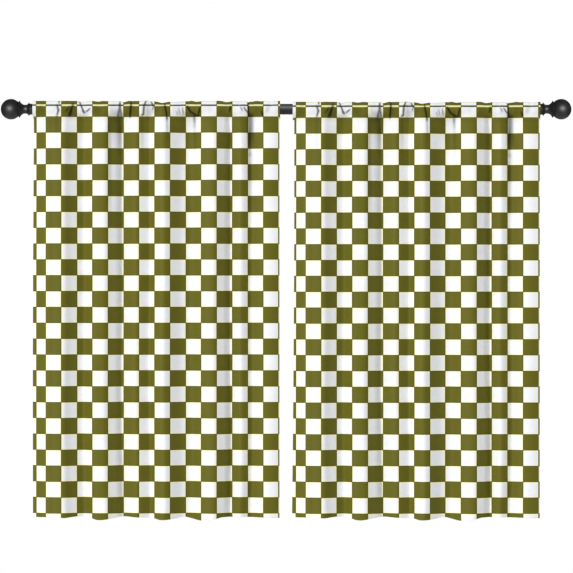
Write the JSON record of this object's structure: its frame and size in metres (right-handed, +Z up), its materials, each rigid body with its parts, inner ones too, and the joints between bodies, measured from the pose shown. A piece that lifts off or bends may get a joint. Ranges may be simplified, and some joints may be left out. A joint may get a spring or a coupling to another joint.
{
  "type": "pair of rod pocket blackout curtains on a curtain rod",
  "caption": "Pair of short blackout curtains in an olive and white check, gathered by rod pockets on a round black rod with ball finials.",
  "frame": {"origin": "middle of the rod's axis, halfway between its two finials", "axes": "+X along the rod to the viewer's right, +Z up, and -Y towards the viewer, the way the printed face looks"},
  "size_m": [1.8768, 0.0728, 1.384],
  "materials": {
    "check_cloth": "matt woven polyester printed with an olive and white check",
    "black_rod": "satin black powder coat",
    "black_finial": "satin black paint"
  },
  "bodies": {
    "root": {"curtain_left": "check_cloth", "curtain_right": "check_cloth", "curtain_rod": "black_rod", "finial_left": "black_finial", "finial_right": "black_finial"}
  },
  "joints": []
}
